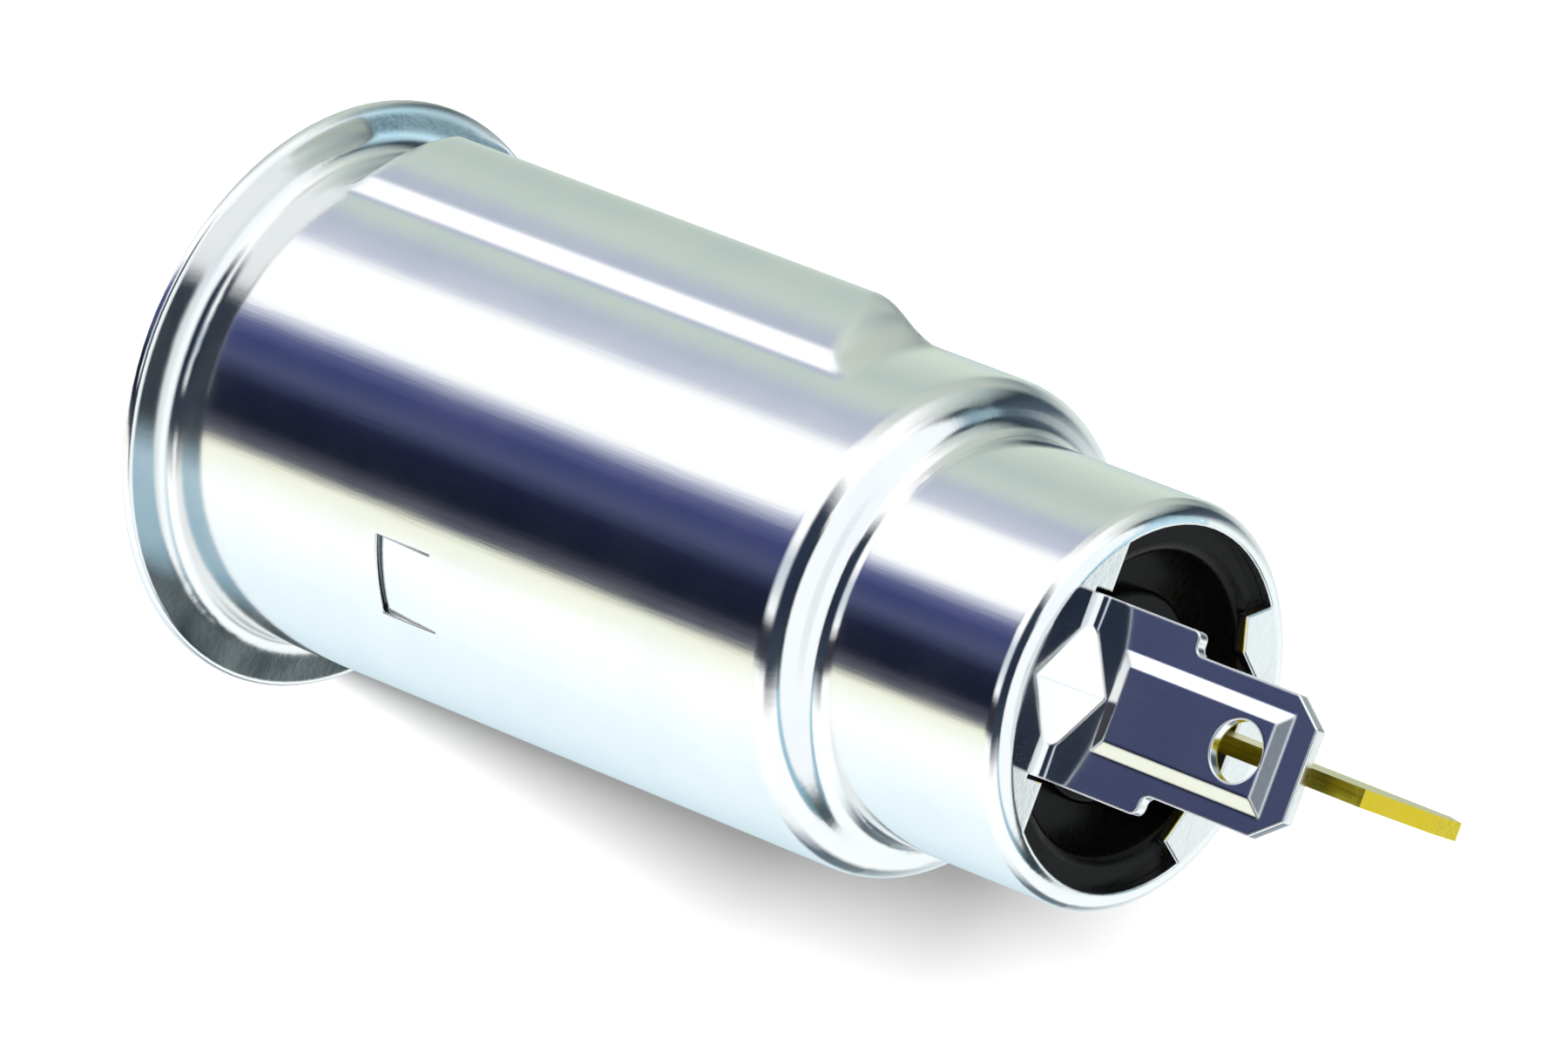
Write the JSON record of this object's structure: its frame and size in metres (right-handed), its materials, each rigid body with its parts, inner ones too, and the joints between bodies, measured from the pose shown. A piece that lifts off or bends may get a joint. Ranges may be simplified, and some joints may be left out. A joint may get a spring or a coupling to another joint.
{
  "type": "car 12 volt power socket",
  "caption": "Flanged drawn-steel vehicle power socket with a key rib, spring tangs, a gusseted ground blade, a black insulator and a flat brass hot terminal.",
  "frame": {"origin": "centre of the mouth, on the front face of the flange that the socket stands on", "axes": "+Z from the mouth to the terminals along the bore axis; the ground blade faces -Y; +X completes the frame"},
  "size_m": [0.0272, 0.0272, 0.0659],
  "materials": {
    "plated_steel": "drawn and bright zinc plated",
    "black_moulding": "moulded, slightly glossy",
    "brass": "stamped, bright"
  },
  "bodies": {
    "root": {"shell": "plated_steel", "insulator": "black_moulding", "hot_terminal": "brass", "centre_contact": "brass"}
  },
  "joints": []
}
